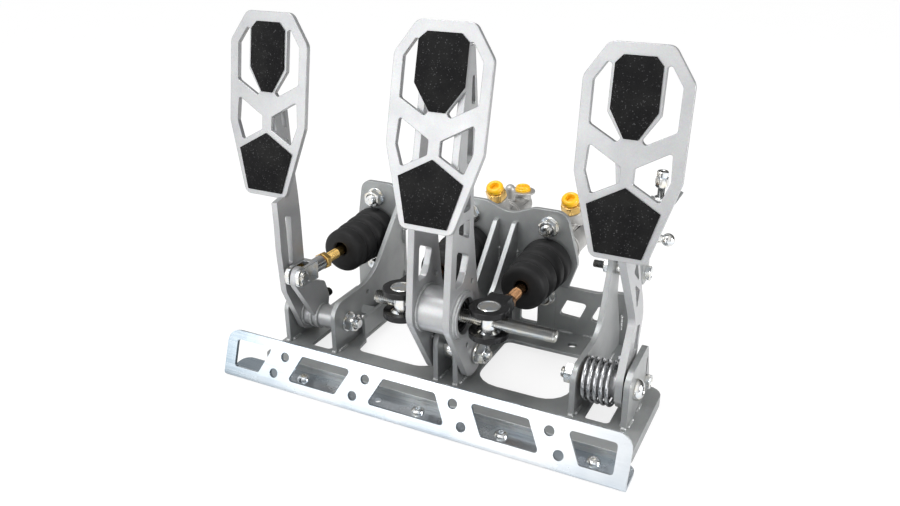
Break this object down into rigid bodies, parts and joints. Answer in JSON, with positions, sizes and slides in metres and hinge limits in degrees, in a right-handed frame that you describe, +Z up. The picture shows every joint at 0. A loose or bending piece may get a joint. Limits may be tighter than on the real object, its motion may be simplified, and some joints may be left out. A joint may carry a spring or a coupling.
{
  "type": "sim racing pedal set",
  "caption": "Floor-mounted clutch, brake and throttle pedals on a folded steel tray, with hydraulic cylinders, a balance bar and a windowed heel plate.",
  "frame": {"origin": "on the floor, in the tray's middle plane, on the line of the heel plate's floor screws", "axes": "+X to the driver's right, +Y forward away from the driver, +Z up"},
  "size_m": [0.3273, 0.2778, 0.2596],
  "materials": {
    "frame_paint": "satin silver-grey paint over welded sheet",
    "pedal_paint": "satin light silver paint",
    "heel_zinc": "bright zinc-plated sheet",
    "zinc": "bright zinc plate",
    "cast": "bead-blasted casting",
    "piston": "machined",
    "boot_rubber": "matt black rubber",
    "grip": "black grit sheet",
    "gold_plate": "gold passivated steel",
    "bronze": "sintered bronze",
    "plug_yellow": "moulded plastic",
    "black_steel": "black oxide",
    "spring_steel": "drawn spring wire"
  },
  "bodies": {
    "frame": {"base_frame": "frame_paint", "tray_folds": "frame_paint", "heel_plate": "heel_zinc", "heel_plate_screws": "zinc", "clutch_bracket_left": "frame_paint", "clutch_bracket_right": "frame_paint", "brake_bracket_left": "frame_paint", "brake_bracket_right": "frame_paint", "throttle_bracket_left": "frame_paint", "throttle_bracket_right": "frame_paint", "clutch_mount_plate": "frame_paint", "brake_mount_plate": "frame_paint", "rear_wall": "frame_paint", "clutch_pivot_bolt": "zinc", "brake_pivot_bolt": "zinc", "throttle_pivot_bolt": "zinc", "clutch_cylinder": "cast", "brake_cylinder_left": "cast", "brake_cylinder_right": "cast", "cylinder_bolts": "zinc", "port_unions": "gold_plate", "port_plugs": "plug_yellow", "clutch_boot": "boot_rubber", "brake_boot_left": "boot_rubber", "brake_boot_right": "boot_rubber", "throttle_spring": "spring_steel", "throttle_stop_screw": "zinc", "cable_bracket": "zinc", "cable_adjuster": "zinc", "linkage_bolts": "zinc"},
    "clutch_pedal": {"clutch_arm": "pedal_paint", "clutch_face": "pedal_paint", "clutch_grips": "grip", "clutch_pivot_tube": "pedal_paint", "clutch_bushes": "bronze"},
    "clutch_rod": {"clutch_clevis": "zinc", "clutch_clevis_pin": "zinc", "clutch_push_rod": "gold_plate"},
    "clutch_plunger": {"clutch_piston": "piston"},
    "brake_pedal": {"brake_arm_left": "pedal_paint", "brake_arm_right": "pedal_paint", "brake_face": "pedal_paint", "brake_grips": "grip", "bias_tube": "pedal_paint", "brake_bushes": "bronze"},
    "balance_shaft": {"balance_bar": "zinc", "bias_bearing": "zinc"},
    "brake_rod_left": {"brake_clevis_left": "black_steel", "brake_trunnion_left": "zinc", "brake_push_rod_left": "gold_plate"},
    "brake_rod_right": {"brake_clevis_right": "black_steel", "brake_trunnion_right": "zinc", "brake_push_rod_right": "gold_plate"},
    "brake_plunger_left": {"brake_piston_left": "piston"},
    "brake_plunger_right": {"brake_piston_right": "piston"},
    "throttle_pedal": {"throttle_arm": "pedal_paint", "throttle_face": "pedal_paint", "throttle_grips": "grip", "throttle_pivot_tube": "pedal_paint", "throttle_bushes": "bronze"}
  },
  "joints": [
    {"name": "clutch_press", "type": "hinge", "parent": "frame", "child": "clutch_pedal", "pos_m": [-0.1177, 0.05, 0.028], "axis": [-1, 0, 0], "range_deg": [0, 18], "stiffness_Nm_per_rad": 25, "springref_deg": -3.44},
    {"name": "brake_press", "type": "hinge", "parent": "frame", "child": "brake_pedal", "pos_m": [0, 0.05, 0.028], "axis": [-1, 0, 0], "range_deg": [0, 14], "stiffness_Nm_per_rad": 80, "springref_deg": -2.86},
    {"name": "throttle_press", "type": "hinge", "parent": "frame", "child": "throttle_pedal", "pos_m": [0.1118, 0.05, 0.03], "axis": [-1, 0, 0], "range_deg": [0, 18], "stiffness_Nm_per_rad": 7, "springref_deg": -17.19, "deforming": ["throttle_spring"]},
    {"name": "clutch_rod_pivot", "type": "hinge", "parent": "clutch_pedal", "child": "clutch_rod", "pos_m": [-0.1177, 0.026, 0.071], "axis": [-1, 0, 0], "range_deg": [-16, 1]},
    {"name": "brake_rod_pivot_left", "type": "hinge", "parent": "brake_pedal", "child": "brake_rod_left", "pos_m": [-0.03025, 0.0278, 0.069], "axis": [-1, 0, 0], "range_deg": [-13, 1]},
    {"name": "brake_rod_pivot_right", "type": "hinge", "parent": "brake_pedal", "child": "brake_rod_right", "pos_m": [0.03575, 0.0278, 0.069], "axis": [-1, 0, 0], "range_deg": [-13, 1]},
    {"name": "clutch_plunge", "type": "slide", "parent": "frame", "child": "clutch_plunger", "axis": [0, 1, 0], "range_m": [-0.0005, 0.0147], "deforming": ["clutch_boot"]},
    {"name": "brake_plunge_left", "type": "slide", "parent": "frame", "child": "brake_plunger_left", "axis": [0, 1, 0], "range_m": [-0.0005, 0.011], "deforming": ["brake_boot_left"]},
    {"name": "brake_plunge_right", "type": "slide", "parent": "frame", "child": "brake_plunger_right", "axis": [0, 1, 0], "range_m": [-0.0005, 0.011], "deforming": ["brake_boot_right"]},
    {"name": "bias_shift", "type": "slide", "parent": "brake_pedal", "child": "balance_shaft", "axis": [1, 0, 0], "range_m": [-0.005, 0.005]}
  ],
  "couplings": [
    {"joint": "clutch_rod_pivot", "follows": "clutch_press", "ratio": -0.8432},
    {"joint": "clutch_plunge", "follows": "clutch_press", "m_per_rad": 0.04499},
    {"joint": "brake_rod_pivot_left", "follows": "brake_press", "ratio": -0.8399},
    {"joint": "brake_rod_pivot_right", "follows": "brake_press", "ratio": -0.8399},
    {"joint": "brake_plunge_left", "follows": "brake_press", "m_per_rad": 0.04264},
    {"joint": "brake_plunge_right", "follows": "brake_press", "m_per_rad": 0.04264}
  ]
}
